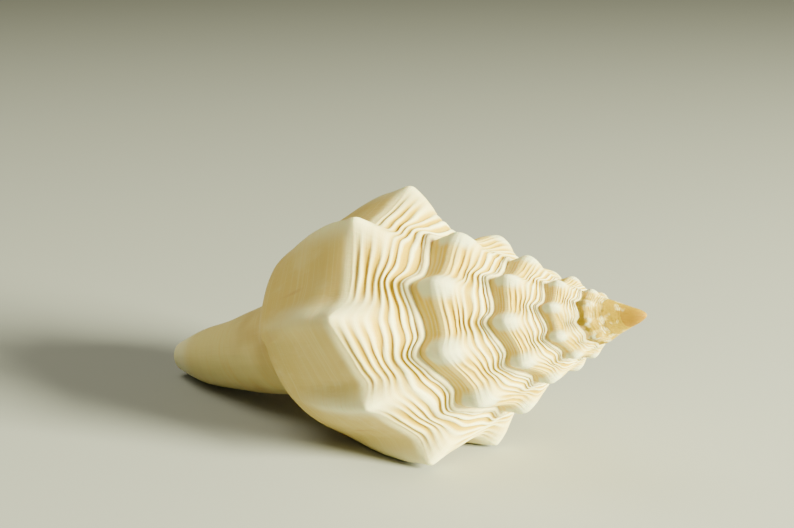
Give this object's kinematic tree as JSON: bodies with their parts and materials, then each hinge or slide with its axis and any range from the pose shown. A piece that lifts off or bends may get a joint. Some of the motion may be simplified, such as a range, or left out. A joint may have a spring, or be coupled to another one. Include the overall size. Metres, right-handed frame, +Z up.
{
  "type": "chank seashell",
  "caption": "Large knobbed chank seashell, dextral, with a ribbed conical spire, lying on its lip with its open canal to one side.",
  "frame": {"origin": "centre of the bounding box in X and Y, at the lowest point in Z, where the shell stands on the ground", "axes": "+Z up as it rests on its lip; +X along the level direction of the shell's own axis, toward the tip of the spire, with the canal at -X; -Y is the side seen in the picture"},
  "size_m": [0.1872, 0.0874, 0.0727],
  "materials": {
    "shell": "satin"
  },
  "bodies": {
    "root": {"shell": "shell"}
  },
  "joints": []
}
